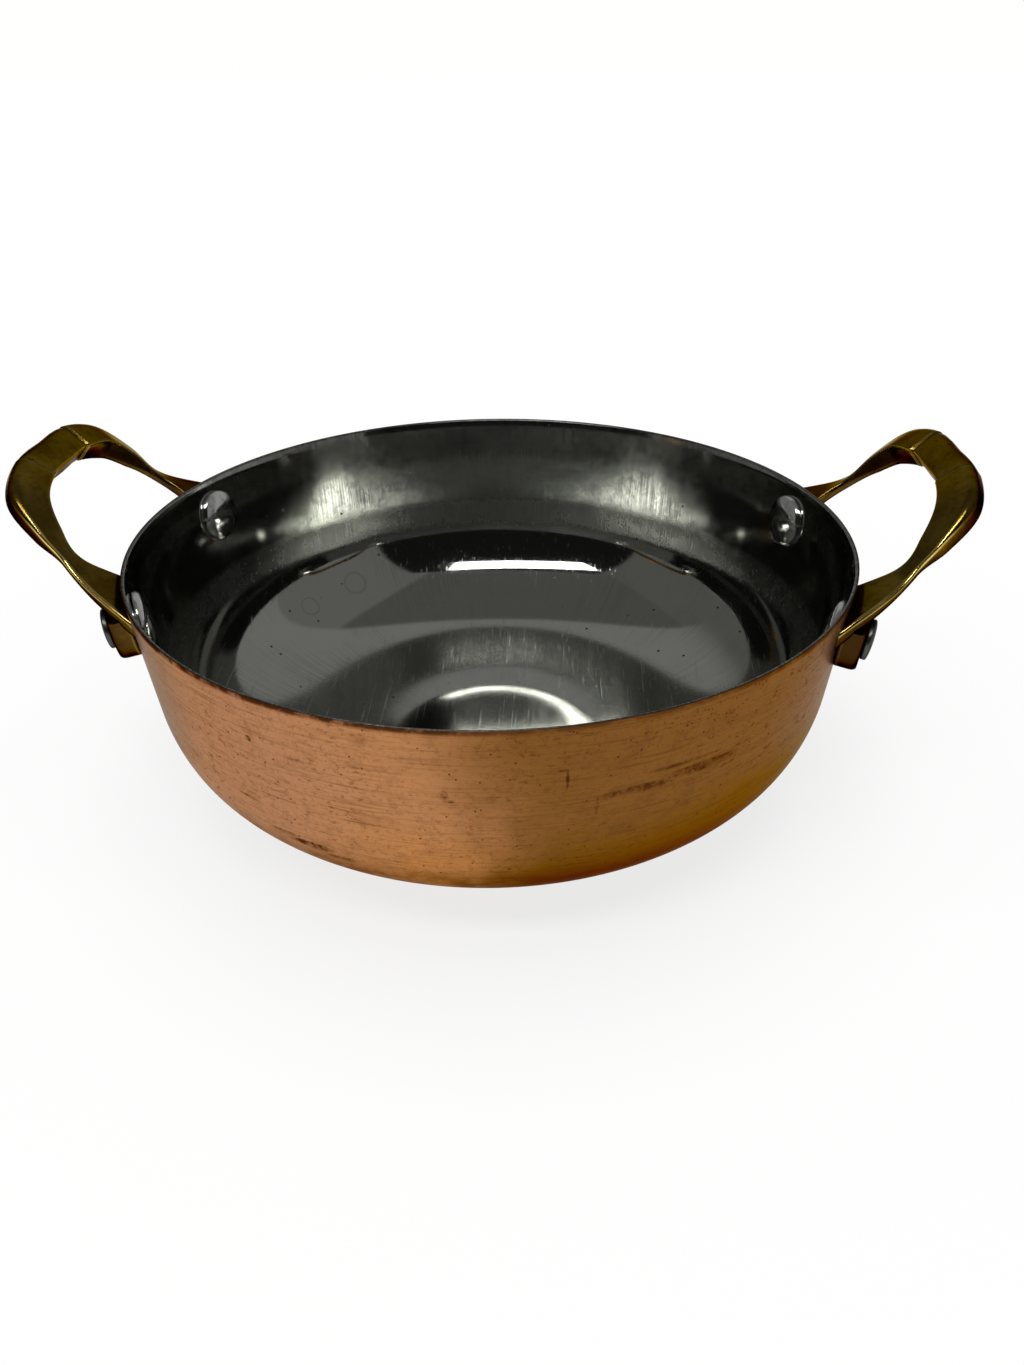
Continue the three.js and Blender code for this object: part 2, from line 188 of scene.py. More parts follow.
class PanFinishes(bpy.types.PropertyGroup):
    """Colours and finishes"""
    # The dull copper is the base colour; laid again over the right of the front it is painted
    # reflection, darkening that side.
    copper_dull_and_painted_reflection: colour("Copper, dull", "Greyed copper at the sides", 0.172, 0.114, 0.082)
    copper_pink: colour("Copper, pink", "Freshly cleaned copper", 0.48, 0.228, 0.113)
    copper_orange: colour("Copper, orange", "Warm copper left of the middle", 0.54, 0.230, 0.068)
    copper_gold: colour("Copper, golden", "Golden brown heat tint", 0.228, 0.095, 0.021)
    copper_olive: colour("Copper, olive", "Deep golden tint low on the body", 0.160, 0.064, 0.002)
    copper_brown: colour("Copper, brown", "Tarnish in scratches and stains", 0.100, 0.034, 0.011)
    steel: colour("Steel", "Polished lining", 0.48, 0.487, 0.445)
    steel_dull: colour("Steel, dull", "Hazed lining", 0.27, 0.275, 0.26)
    steel_scraped: colour("Steel, scraped", "Dull ring and blotches on the lining", 0.20, 0.20, 0.185)
    steel_pit: colour("Steel, pitted", "Pits in the lining", 0.05, 0.05, 0.05)
    brass: colour("Brass", "Aged cast brass", 0.24, 0.160, 0.026)
    brass_dark: colour("Brass, dark", "Reddish brown tarnish", 0.042, 0.018, 0.004)
    brass_worn: colour("Brass, worn", "Brass rubbed bright on edges", 0.88, 0.66, 0.20)
    rivet: colour("Rivet", "Polished rivet steel", 0.86, 0.86, 0.84)
    rivet_dark: colour("Rivet, dark", "Tarnished rivet steel", 0.085, 0.083, 0.080)


class StageSettings(bpy.types.PropertyGroup):
    """Floor, light and camera"""
    floor_radius: length("Floor radius", "Radius of the floor", 6000)
    floor_glow: share("Floor glow", "Share of the floor's white that shadows don't touch", 0.80)
    strip_length: length("Strip length", "Length of the strip light", 980)
    strip_width: length("Strip width", "Width of the strip light", 240)
    strip_aside: length("Strip aside", "How far to the left the strip light hangs", 200)
    strip_distance: length("Strip distance", "How far in front the strip light hangs", 590)
    strip_height: length("Strip height", "How high the strip light hangs", 1100)
    strip_turn: angle("Strip turn", "How far the strip light's right end is turned back", 4.5)
    strip_power: power("Strip power", "Power of the strip light", 8.0)
    fill_size: length("Fill size", "Length and width of the lamp over the floor", 900)
    fill_back: length("Fill back", "How far behind the pan's middle that lamp hangs", 100)
    fill_height: length("Fill height", "How high that lamp hangs", 1300)
    fill_power: power("Fill power", "Power of the lamp over the floor", 10.0)
    lens: FloatProperty(name="Lens", description="Focal length on a 36 mm frame", default=27.03,
                        unit="CAMERA")


class GratinPanSettings(bpy.types.PropertyGroup):
    """Everything that can be changed about the pan"""
    body: PointerProperty(type=PanBodySizes, name="Body", description="Shell and lining")
    rivets: PointerProperty(type=RivetSizes, name="Rivets", description="Rivets")
    handles: PointerProperty(type=HandleSizes, name="Handles", description="Handles")
    finishes: PointerProperty(type=PanFinishes, name="Finishes", description="Finishes")
    stage: PointerProperty(type=StageSettings, name="Stage", description="Stage")


def settings():
    return bpy.context.scene.gratin_pan


# Node helpers

class Value:
    """A node's output. Sums and products of values are maths nodes, and a | b is the larger one."""

    def __init__(self, socket):
        self.socket = socket
        self.tree = socket.id_data

    def __add__(self, other):
        return maths("ADD", self, other)

    def __sub__(self, other):
        return maths("SUBTRACT", self, other)

    def __rsub__(self, other):
        return maths("SUBTRACT", other, self)

    def __mul__(self, other):
        return maths("MULTIPLY", self, other)

    def __truediv__(self, other):
        return maths("DIVIDE", self, other)

    def __or__(self, other):
        return maths("MAXIMUM", self, other)

    __radd__, __rmul__ = __add__, __mul__

    def held(self):
        """Has the node hold its outcome between nothing and one."""
        self.socket.node.use_clamp = True
        return self

    def ramp(self, low, high, to_low=0.0, to_high=1.0):
        """A smooth step from one limit to another."""
        return output(self.tree, "ShaderNodeMapRange", {
            "Value": self, "From Min": low, "From Max": high, "To Min": to_low, "To Max": to_high,
        }, interpolation_type="SMOOTHSTEP")

    def between(self, low, high, soft):
        """One between two limits and nothing outside them."""
        return self.ramp(low - soft, low + soft) * self.ramp(high + soft, high - soft)

    def vector(self, operation, other=None):
        """The outcome of a vector maths node."""
        inputs = {0: self}
        if other is not None:
            inputs["Scale" if operation == "SCALE" else 1] = other
        return output(self.tree, "ShaderNodeVectorMath", inputs, operation=operation)

    def parts(self):
        """The x, y and z of a vector."""
        node = add_node(self.tree, "ShaderNodeSeparateXYZ", {0: self})
        return [Value(out) for out in node.outputs]


def set_inputs(node, inputs):
    """Sets or links a node's inputs, each by its name or number."""
    for key, value in inputs.items():
        if isinstance(value, Value):
            node.id_data.links.new(value.socket, node.inputs[key])
        else:
            node.inputs[key].default_value = value


def add_node(tree, kind, inputs=None, **options):
    node = tree.nodes.new(kind)
    for key, value in options.items():
        setattr(node, key, value)
    set_inputs(node, inputs or {})
    return node


def output(tree, kind, inputs=None, name=None, **options):
    """Adds a node and gives its named output, or else the first that is in use."""
    outputs = add_node(tree, kind, inputs, **options).outputs
    return Value(outputs[name] if name else next(out for out in outputs if out.enabled))


def joined(kind, values, **options):
    """A node with some values and numbers as its inputs, in order."""
    tree = next(value.tree for value in values if isinstance(value, Value))
    return output(tree, kind, dict(enumerate(values)), **options)


def maths(operation, *values):
    return joined("ShaderNodeMath", values, operation=operation)


def combine(*values):
    return joined("ShaderNodeCombineXYZ", values)


def largest(values):
    """The largest of several values."""
    total, *others = values
    for value in others:
        total = total | value
    return total


def noise(vector, scale, detail=3.0, roughness=0.55, distortion=0.0):
    return output(vector.tree, "ShaderNodeTexNoise", {
        "Vector": vector, "Scale": scale, "Detail": detail, "Roughness": roughness,
        "Distortion": distortion,
    })


def mixed(factor, first, second):
    """Two colours, each a value or three numbers, mixed by a factor."""
    pair = [hue if isinstance(hue, Value) else (*hue, 1.0) for hue in (first, second)]
    return output(factor.tree, "ShaderNodeMix", {0: factor, 6: pair[0], 7: pair[1]}, data_type="RGBA")


def layered(tint, *layers):
    """A colour with others laid over it, each by its own mask."""
    for mask, hue in layers:
        tint = mixed(mask, tint, hue)
    return tint


def bump(height, strength, depth):
    return output(height.tree, "ShaderNodeBump", {
        "Height": height, "Strength": strength, "Distance": depth,
    })


def new_metal(name):
    """A bare metal material, its shader and its object coordinates."""
    material = bpy.data.materials.new(name)
    material.use_nodes = True
    shader = material.node_tree.nodes["Principled BSDF"]
    shader.inputs["Metallic"].default_value = 1.0
    return material, shader, output(material.node_tree, "ShaderNodeTexCoord", name="Object")


def from_front(x, y):
    """Bearing in radians from the front, which is -Y, to the right."""
    return maths("ARCTAN2", x, y * -1.0)


def round_the_pan(place):
    """Coordinates of a turned piece: the bearing as a flat unit vector, radius, height and the way
    up its profile."""
    x, y, height = place.parts()
    flat = combine(x, y, 0.0)
    radius = flat.vector("LENGTH")
    return flat.vector("NORMALIZE"), radius, height, height - radius


def brushed(way, climb, turns, pitch, detail=4.0, roughness=0.65):
    """Fine lines round the pan, or up it where the pitch is low."""
    across = combine(0.0, 0.0, climb * pitch)
    return noise(way.vector("SCALE", turns).vector("ADD", across), 1.0, detail, roughness)


def lay_of_lines(shader, amount):
    """Spreads reflections across the fine lines that run round a turned piece."""
    around = output(shader.id_data, "ShaderNodeTangent", direction_type="RADIAL", axis="Z")
    set_inputs(shader, {"Anisotropic": amount, "Anisotropic Rotation": 0.25, "Tangent": around})


def dots(place, scale, size, share_of_cells):
    """Small round spots in a share of the cells of a scattered pattern."""
    spots = add_node(place.tree, "ShaderNodeTexVoronoi", {"Vector": place, "Scale": scale}).outputs
    chance = output(place.tree, "ShaderNodeSeparateColor", {0: Value(spots["Color"])})
    wanted = chance.ramp(1.0 - share_of_cells, 1.0 - share_of_cells * 0.8)
    return Value(spots["Distance"]).ramp(size, size * 0.5) * wanted


# Finishes

# Where tints on the copper start and are full: heights in metres. The second pair on the next line is
# painted shade, darkening the copper towards the base.
COPPER_LOW, COPPER_LOW_SHADE = (0.046, 0.020), (0.028, 0.018)
COPPER_NEAR_RIM, COPPER_UNDER_RIM = (0.046, 0.057), (0.0575, 0.0587)
# Where the tints of the front have faded out and where they begin to: degrees from the front. These
# tints are partly heat tint and partly painted reflection, lighter on the left and darker in the middle
# and on the right.
COPPER_BACK = (160.0, 95.0)
# Tints of reflections at a glancing angle. The last, for tarnished brass, also darkens reflections where
# shade is painted on the handles.
COPPER_GLANCE, GILT_GLANCE, BROWN_GLANCE = (0.80, 0.66, 0.54), (0.58, 0.38, 0.08), (0.40, 0.21, 0.10)
BRASS_GLANCE, TARNISH_AND_SHADE_GLANCE = (0.52, 0.38, 0.13), (0.10, 0.055, 0.015)
RIVET_GLANCE, RIVET_DARK_GLANCE = (1.0, 1.0, 1.0), (0.35, 0.35, 0.34)
# Scuffs on the copper's front: bearing from the front in degrees, height and half sizes in mm,
# and strength
COPPER_SCUFFS = (
    (22.5, 42.4, 7.5, 1.1, 0.70),
    (32.0, 43.4, 9.0, 1.3, 0.75),
    (29.0, 45.6, 8.0, 0.6, 0.55),
    (12.9, 47.3, 0.32, 2.6, 1.0),
    (12.3, 49.6, 0.9, 0.32, 0.8),
    (17.0, 40.4, 0.4, 2.4, 0.55),
    (-2.3, 44.5, 0.8, 1.5, 0.75),
    (-1.8, 43.4, 1.2, 0.5, 0.75),
    (-29.3, 49.0, 0.75, 0.75, 1.0),
    (-23.2, 25.3, 5.5, 1.4, 0.75),
    (-27.5, 26.6, 4.0, 0.9, 0.65),
    (-19.0, 23.6, 4.0, 1.0, 0.65),
    (-33.0, 33.0, 3.0, 0.5, 0.6),
)
FRONT_RADIUS = 78.0


def scuffs(bearing, height, grain):
    """Darkened patches at given places, broken up by the grain."""
    masks = []
    for degrees, level, wide, tall, strength in COPPER_SCUFFS:
        around = (bearing - math.radians(degrees)) * (FRONT_RADIUS / wide)
        above = (height - level * MM) * (1.0 / (tall * MM))
        masks.append(combine(around, above, 0.0).vector("LENGTH").ramp(1.15, 0.5) * strength)
    return (largest(masks) * grain).held()


def copper_finish(look):
    material, shader, place = new_metal("brushed_copper")
    way, _, height, climb = round_the_pan(place)
    bearing = from_front(*place.parts()[:2])
    lines = brushed(way, climb, 6.0, 2800.0)
    broad = brushed(way, climb, 3.0, 520.0, 3.0)
    dashes = brushed(way, climb, 46.0, 1500.0, 2.0)
    clouds = noise(place, 26.0, 4.0, 0.6, 0.4)
    mottle = noise(place, 190.0, 4.0, 0.65)
    speckle = noise(place, 1000.0, 3.0, 0.7)
    drift = bearing + (clouds - 0.5) * 0.5
    on_front = maths("ABSOLUTE", bearing).ramp(*np.radians(COPPER_BACK))

    def from_left(first, last):
        """Rises between two bearings, given in degrees, and fades out towards the back."""
        return drift.ramp(math.radians(first), math.radians(last)) * on_front

    low = (height + mottle * 0.008).ramp(*COPPER_LOW)
    gilt = from_left(-1, 14) * low
    # Heat tints and painted reflection together: pink and lighter on the left, golden and darker low in
    # the middle, dull and darker on the right.
    front_tints_and_painted_reflection = (
        (from_left(-58, -34), look.copper_pink),
        (from_left(-30, -8) * (0.45 + low).held(), look.copper_orange),
        (from_left(-9, 13), look.copper_gold),
        (gilt, look.copper_olive),
        (from_left(46, 70) * 0.6, look.copper_dull_and_painted_reflection),
    )
    flecks = dashes.ramp(0.57, 0.70) * noise(place, 60.0, 3.0, 0.6).ramp(0.40, 0.60)
    crowded = height.ramp(*COPPER_NEAR_RIM) * mottle.ramp(0.40, 0.62)
    crowd = dots(place, 1400.0, 0.38, 0.34) * crowded * (0.5 + from_left(4, 12)).held()
    pits = largest([dots(place, 1000.0, 0.26, 0.07), dots(place, 400.0, 0.15, 0.025), crowd])
    grain = lines.ramp(0.34, 0.60) * mottle.ramp(0.30, 0.55) * speckle.ramp(0.36, 0.58)
    marks = scuffs(bearing, height, grain * 1.2 + 0.32)
    under_rim = height.ramp(*COPPER_UNDER_RIM) * mottle.ramp(0.35, 0.55, 0.35, 1.2)
    under_rim = under_rim * (1.2 - from_left(-5, 10) * 0.5)
    dark = largest([marks, pits * 0.9, flecks * 0.42, under_rim * 0.8]).held()
    # Painted shade: darker brown towards the base, broken up by the mottle.
    painted_low_shade = height.ramp(*COPPER_LOW_SHADE) * mottle.ramp(0.35, 0.60, 0.40, 0.66)
    tarnish = (
        (lines.ramp(0.50, 0.72), 0.46), (broad.ramp(0.54, 0.72), 0.24), (mottle.ramp(0.50, 0.72), 0.26),
        (speckle.ramp(0.48, 0.74), 0.34), (dark, 1.0), (painted_low_shade, 1.0),
    )
    stains = [((mask * amount).held(), look.copper_brown) for mask, amount in tarnish]
    relief = lines + mottle * 0.4 - (pits | flecks) * 0.8
    set_inputs(shader, {
        "Base Color": layered(look.copper_dull_and_painted_reflection, *front_tints_and_painted_reflection, *stains),
        "Roughness": (0.26 + lines * 0.16 + clouds * 0.08 + dark * 0.2).held(),
        "Normal": bump(relief, 0.4, 0.00006),
        "Specular Tint": layered(COPPER_GLANCE, (gilt, GILT_GLANCE),
                                 ((dark | painted_low_shade).held(), BROWN_GLANCE)),
    })
    lay_of_lines(shader, 0.45)
    return material


# Where looks of the lining start and are full: heights in metres
STEEL_WALL, STEEL_DRAWN, STEEL_RIM = (0.022, 0.040), (0.033, 0.038), (0.0585, 0.0589)
# The scraped ring: lower and upper edge and softness
STEEL_RING = (0.0280, 0.0355, 0.0015)
# Dried drops on the lining: place and radius in mm
STEEL_DROPS = (
    (-44.3, 54.0, 18.0, 3.4),
    (-55.2, 41.5, 16.5, 2.8),
    (31.0, 24.0, 6.0, 2.2),
    (-12.0, -8.0, 4.5, 1.8),
)


def dried_drops(place):
    """Faint rings that drops have left."""
    rings = []
    for x, y, z, radius in STEEL_DROPS:
        away = place.vector("SUBTRACT", (x * MM, y * MM, z * MM)).vector("LENGTH")
        rings.append(away.between(radius * 0.86 * MM, radius * MM, radius * 0.1 * MM))
    return largest(rings)


def steel_finish(look):
    material, shader, place = new_metal("polished_lining_steel")
    way, _, height, climb = round_the_pan(place)
    to_back = way.parts()[1]
    rubbed = brushed(way, height, 160.0, 60.0, 3.0, 0.6)
    turned = brushed(way, climb, 4.0, 3200.0)
    clouds = noise(place, 38.0, 5.0, 0.62, 0.5)
    blotches = noise(place, 340.0, 5.0, 0.72).ramp(0.46, 0.62)
    fine = noise(place, 1300.0, 3.0, 0.7)
    on_wall = height.ramp(*STEEL_WALL)
    straight = place.vector("MULTIPLY", (2600.0, 70.0, 500.0))
    slanted = output(place.tree, "ShaderNodeMapping", {
        "Vector": place, "Rotation": (0.0, 0.0, 0.9), "Scale": (2400.0, 60.0, 400.0),
    })
    scratches = noise(straight, 1.0, 2.0).ramp(0.66, 0.78) | noise(slanted, 1.0, 2.0).ramp(0.62, 0.76)
    scratches = scratches * (1.0 - on_wall * 0.8)
    haze = clouds.ramp(0.38, 0.68) * rubbed.ramp(0.35, 0.7) * (0.45 + on_wall * 0.55)
    wiped = maths("ABSOLUTE", to_back).ramp(0.86, 0.97) * on_wall * fine.ramp(0.3, 0.7, 0.5, 1.0)
    haze = (haze + wiped * rubbed.ramp(0.3, 0.7, 0.6, 1.0)).held()
    haze = (haze + dried_drops(place) * 0.5).held()
    drawn = to_back.ramp(0.46, 0.80) * to_back.ramp(0.97, 0.86) * height.ramp(*STEEL_DRAWN)
    ring = height.between(*STEEL_RING) * clouds.ramp(0.3, 0.6, 0.7, 1.0)
    at_rim = height.ramp(*STEEL_RIM)
    pits = dots(place, 420.0, 0.19, 0.05) | dots(place, 230.0, 0.12, 0.03)
    stains = (
        (haze, look.steel_dull),
        (blotches * (on_wall * 0.55), look.steel_scraped),
        (ring * 0.8 | drawn * rubbed.ramp(0.35, 0.65, 0.0, 0.3), look.steel_scraped),
        (pits, look.steel_pit),
        (at_rim * rubbed.ramp(0.35, 0.65, 0.5, 0.95), look.rivet_dark),
    )
    rough = 0.045 + haze * 0.11 + on_wall * 0.02 + ring * 0.22 + drawn * 0.03 + at_rim * 0.2
    rough = rough + fine.ramp(0.5, 0.8) * 0.06 + scratches * 0.17 + pits * 0.3
    relief = turned * 0.4 + rubbed * 0.3 - (scratches | pits) + fine * 0.6
    set_inputs(shader, {
        "Base Color": layered(look.steel, *stains), "Roughness": rough.held(),
        "Normal": bump(relief, 0.09, 0.00004),
    })
    lay_of_lines(shader, on_wall * drawn.ramp(0.0, 1.0, 0.6, 1.0))
    return material


def brass_finish(look):
    material, shader, place = new_metal("aged_cast_brass")
    # The second attribute carries tarnish and painted shade: the strap's sides and back, its seats and
    # the feet are darker.
    worn, tarnish_and_shade = (output(place.tree, "ShaderNodeAttribute", name="Fac", attribute_name=label)
                    for label in ("edge_wear", "tarnish_and_shade"))
    clouds = noise(place, 90.0, 4.0, 0.6, 0.3)
    casting = noise(place, 900.0, 3.0, 0.6)
    fine = noise(place, 3200.0, 2.0, 0.5)
    hammered = noise(place, 210.0, 2.0, 0.5, 0.6)
    tarnish = (tarnish_and_shade * clouds.ramp(0.30, 0.60, 0.78, 1.0)).held()
    rub = worn.ramp(0.30, 0.90) * clouds.ramp(0.3, 0.55, 0.30, 1.0) * (1.0 - tarnish).held()
    stains = [(mask, look.brass_dark) for mask in (
        clouds.ramp(0.35, 0.7, 0.0, 0.6), casting.ramp(0.45, 0.75) * 0.4, tarnish)]
    set_inputs(shader, {
        "Base Color": layered(look.brass, *stains, (rub, look.brass_worn)),
        "Roughness": (0.13 + casting * 0.18 - rub * 0.06).held(),
        "Normal": bump(hammered * 2.2 + casting * 0.6 + fine * 0.15, 0.3, 0.00014),
        "Specular Tint": mixed(tarnish, BRASS_GLANCE, TARNISH_AND_SHADE_GLANCE),
    })
    return material


# Radius in metres from which a rivet is tarnished, and where it is fully so
RIVET_OUTSIDE = (0.0803, 0.0808)


def rivet_finish(look):
    material, shader, place = new_metal("polished_rivet_steel")
    clouds = noise(place, 300.0, 4.0, 0.6)
    _, radius, _, _ = round_the_pan(place)
    outside = radius.ramp(*RIVET_OUTSIDE)
    tarnish = clouds.ramp(0.5, 0.8, 0.0, 0.45) | outside
    set_inputs(shader, {
        "Base Color": mixed(tarnish, look.rivet, look.rivet_dark),
        "Roughness": (0.05 + clouds * 0.12 + outside * 0.2).held(),
        "Normal": bump(noise(place, 2600.0, 3.0, 0.6), 0.2, 0.00006),
        "Specular Tint": mixed(outside, RIVET_GLANCE, RIVET_DARK_GLANCE),
    })
    return material


# Profiles, seen as radius and height in metres

def wall_radius(body, height):
    return body.rim_diameter / 2 - (body.height - height) * math.tan(body.wall_taper)


def outer_profile(body):
    """The outside of the body from the edge of the base to the rim."""
    lean = np.array([math.sin(body.wall_taper), math.cos(body.wall_taper)])
    slope = np.array([math.cos(body.base_corner), math.sin(body.base_corner)])
    start = np.array([body.base_diameter / 2, 0.0])
    end = np.array([wall_radius(body, body.wall_start), body.wall_start])
    pulls = [start, start + slope * body.heel_base_pull, end - lean * body.heel_wall_pull, end]
    t = np.linspace(0.0, 1.0, body.heel_steps + 1)[:, None]
    weights = [(1 - t) ** 3, 3 * (1 - t) ** 2 * t, 3 * (1 - t) * t ** 2, t ** 3]
    heel = sum(weight * pull for weight, pull in zip(weights, pulls))
    heel = heel[np.hypot(*(heel - start).T) > body.base_knee * 1.15]
    t = np.linspace(0.0, 1.0, body.knee_steps + 1)[:, None]
    flat, tip = start - [body.base_knee, 0.0], start + slope * body.base_knee
    knee = (1 - t) ** 2 * flat + 2 * (1 - t) * t * start + t ** 2 * tip
    rim = np.array([body.rim_diameter / 2, body.height])
    rise = np.linspace(0.0, 1.0, body.wall_steps + 1)[1:, None]
    return np.vstack([knee, heel, end + (rim - end) * rise])


def profile_at_depth(body, depths):
    """The outer profile moved into the wall by a depth at each of its points, from the axis up."""
    outline = outer_profile(body)
    along = np.gradient(outline, axis=0)
    along[0] = [1.0, 0.0]
    along[-1] = [math.sin(body.wall_taper), math.cos(body.wall_taper)]
    along /= np.linalg.norm(along, axis=1)[:, None]
    inward = np.stack([-along[:, 1], along[:, 0]], axis=1)
    moved = outline + inward * np.asarray(depths)[:, None]
    moved[-1] = [outline[-1, 0] - depths[-1] / math.cos(body.wall_taper), body.height]
    return np.vstack([[0.0, depths[0]], moved])


def near_rim(body, reach):
    """Nothing at each point of the profile below a reach from the rim, rising to one at the rim."""
    return np.clip((outer_profile(body)[:, 1] - (body.height - reach)) / reach, 0.0, 1.0)


def joint_depths(body, extra):
    """Depth of the shell's inner face, which nears the outside at the rim."""
    thin = near_rim(body, body.rim_thinning)
    return body.copper + (body.copper_at_rim - body.copper) * thin + extra


def lining_depths(body):
    """Depth of the lining's inner face, which flares a little below the rim."""
    return body.wall - body.lip_thinning * near_rim(body, body.lip_height) ** 2


def eased_rim(body, outside, inside, inner_edge):
    """Joins the two faces of a layer over the rim, with rounded corners."""
    top_out, top_in, outer_edge = outside[-1], inside[-1], body.rim_edge
    room = (top_out[0] - top_in[0]) * 0.9
    fit = min(1.0, room / (outer_edge + inner_edge))
    corner = []
    for top, side, edge, first in ((top_out, -1.0, outer_edge, 0.0), (top_in, 1.0, inner_edge, 90.0)):
        edge *= fit
        centre = top + np.array([side * edge, -edge])
        for degrees in np.linspace(first, first + 90.0, body.rim_steps + 1):
            turn = math.radians(degrees)
            corner.append(centre + edge * np.array([math.cos(turn), math.sin(turn)]))
    lower = [point for point in outside[:-1] if point[1] < top_out[1] - outer_edge * 1.5]
    upper = [point for point in inside[:-1] if point[1] < top_in[1] - inner_edge * 1.5]
    return np.array([*lower, *corner, *upper[::-1]])


# Geometry node trees

TREE_INPUTS = {
    "Geometry": "NodeSocketGeometry", "Segments": "NodeSocketInt", "Crease": "NodeSocketFloat",
    "Material": "NodeSocketMaterial",
}
MERGE_DISTANCE = 1e-7


def new_tree(name):
    """An empty geometry tree, its inputs by name and its output node."""
    tree = bpy.data.node_groups.new(name, "GeometryNodeTree")
    for label, kind in TREE_INPUTS.items():
        tree.interface.new_socket(label, in_out="INPUT", socket_type=kind)
    tree.interface.new_socket("Geometry", in_out="OUTPUT", socket_type="NodeSocketGeometry")
    enter = tree.nodes.new("NodeGroupInput").outputs
    return tree, {label: Value(enter[label]) for label in TREE_INPUTS}, tree.nodes.new("NodeGroupOutput")


def turned_surface(outline, segments):
    """Nodes that turn a row of points, radius in x and height in z, round the z axis."""
    tree = outline.tree
    rows = output(tree, "GeometryNodeAttributeDomainSize", {0: outline}, "Point Count", component="MESH")
    columns = segments + 1.0
    grid = output(tree, "GeometryNodeMeshGrid", {"Vertices X": rows, "Vertices Y": columns})
    index = output(tree, "GeometryNodeInputIndex")
    row = maths("FLOOR", (index + 0.5) / columns)
    point = output(tree, "GeometryNodeSampleIndex", {
        "Geometry": outline, "Value": output(tree, "GeometryNodeInputPosition"), "Index": row,
    }, data_type="FLOAT_VECTOR", domain="POINT")
    radius, _, height = point.parts()
    turn = (index - row * columns) / segments * math.tau
    place = combine(radius * maths("COSINE", turn), radius * maths("SINE", turn), height)
    placed = output(tree, "GeometryNodeSetPosition", {"Geometry": grid, "Position": place})
    return output(tree, "GeometryNodeMergeByDistance", {"Geometry": placed, "Distance": MERGE_DISTANCE})


def shaded(geometry, crease):
    """Smooth shading with edges sharper than the crease angle kept."""
    tree = geometry.tree
    bend = output(tree, "GeometryNodeInputMeshEdgeAngle", name="Unsigned Angle")
    sharp = output(tree, "FunctionNodeCompare", {0: bend, 1: crease}, operation="GREATER_THAN")
    smooth = output(tree, "GeometryNodeSetShadeSmooth", {
        "Geometry": geometry, "Shade Smooth": True,
    }, domain="FACE")
    return output(tree, "GeometryNodeSetShadeSmooth", {
        "Geometry": smooth, "Selection": sharp, "Shade Smooth": False,
    }, domain="EDGE")


def finish_tree(tree, geometry, material, leave):
    real = output(tree, "GeometryNodeRealizeInstances", {"Geometry": geometry})
    painted = output(tree, "GeometryNodeSetMaterial", {"Geometry": real, "Material": material})
    set_inputs(leave, {"Geometry": painted})
    return tree


def lathe_tree():
    """Turns a profile into a closed shell."""
    tree, enter, leave = new_tree("Turned shell")
    surface = turned_surface(enter["Geometry"], enter["Segments"])
    return finish_tree(tree, shaded(surface, enter["Crease"]), enter["Material"], leave)


def rivet_tree():
    """Turns a rivet's profile and sets one on each place, along that place's wall normal."""
    tree, enter, leave = new_tree("Set rivets")
    is_place = output(tree, "GeometryNodeInputNamedAttribute", {"Name": "is_place"}, data_type="FLOAT")
    pick = output(tree, "FunctionNodeCompare", {0: is_place, 1: 0.5}, operation="GREATER_THAN")
    parted = add_node(tree, "GeometryNodeSeparateGeometry", {
        "Geometry": enter["Geometry"], "Selection": pick,
    }, domain="POINT").outputs
    rivet = turned_surface(Value(parted["Inverted"]), enter["Segments"])
    normal = output(tree, "GeometryNodeInputNamedAttribute", {"Name": "wall_normal"},
                    data_type="FLOAT_VECTOR")
    turn = output(tree, "FunctionNodeAlignRotationToVector", {"Vector": normal}, axis="Z")
    placed = output(tree, "GeometryNodeInstanceOnPoints", {
        "Points": Value(parted["Selection"]), "Instance": shaded(rivet, enter["Crease"]),
        "Rotation": turn,
    })
    return finish_tree(tree, placed, enter["Material"], leave)


# Pieces

def grown(name, mesh, tree, values):
    """Runs a tree on a mesh, its inputs given by name, and keeps the result as a plain object."""
    seed = bpy.data.objects.new(name + "_seed", mesh)
    bpy.context.scene.collection.objects.link(seed)
    modifier = seed.modifiers.new("Shape", "NODES")
    modifier.node_group = tree
    for socket in tree.interface.items_tree:
        if socket.in_out == "INPUT" and socket.name in values:
            modifier[socket.identifier] = values[socket.name]
    depsgraph = bpy.context.evaluated_depsgraph_get()
    result = bpy.data.meshes.new_from_object(seed.evaluated_get(depsgraph), depsgraph=depsgraph)
    seed.modifiers.remove(modifier)
    bpy.data.objects.remove(seed)
    result.name = name
    return shown(name, result)


def shown(name, mesh):
    if not mesh.polygons:
        raise RuntimeError(f"{name} came out empty")
    made = bpy.data.objects.new(name, mesh)
    bpy.context.scene.collection.objects.link(made)
    return made


def row_mesh(name, points):
    """A row of points as a bare mesh."""
    mesh = bpy.data.meshes.new(name)
    mesh.from_pydata([tuple(point) for point in points], [], [])
    return mesh


def settle(piece, slot, *nodes):
    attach(piece, BODY)
    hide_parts(*nodes)


# Sharpest bend of a surface that is still shaded smooth
BODY_CREASE, RIVET_CREASE, HANDLE_CREASE = math.radians(40), math.radians(50), math.radians(36)


def turned_piece(name, outline, body, material):
    points = [(radius, 0.0, height) for radius, height in outline]
    return grown(name, row_mesh(name, points), lathe_tree(), {
        "Segments": body.segments, "Crease": BODY_CREASE, "Material": material,
    })


# Handles

FLIP = np.array([1.0, -1.0, 1.0])


def unit(vector):
    return vector / np.linalg.norm(vector)


def wall_normal(body, bearing):
    flat = math.cos(body.wall_taper)
    return np.array([flat * math.cos(bearing), flat * math.sin(bearing), -math.sin(body.wall_taper)])


def wall_point(body, bearing, height):
    radius = wall_radius(body, height)
    return np.array([radius * math.cos(bearing), radius * math.sin(bearing), height])


def rivet_bearing(body, rivets):
    return math.asin(rivets.spacing / 2 / wall_radius(body, body.height - rivets.drop))


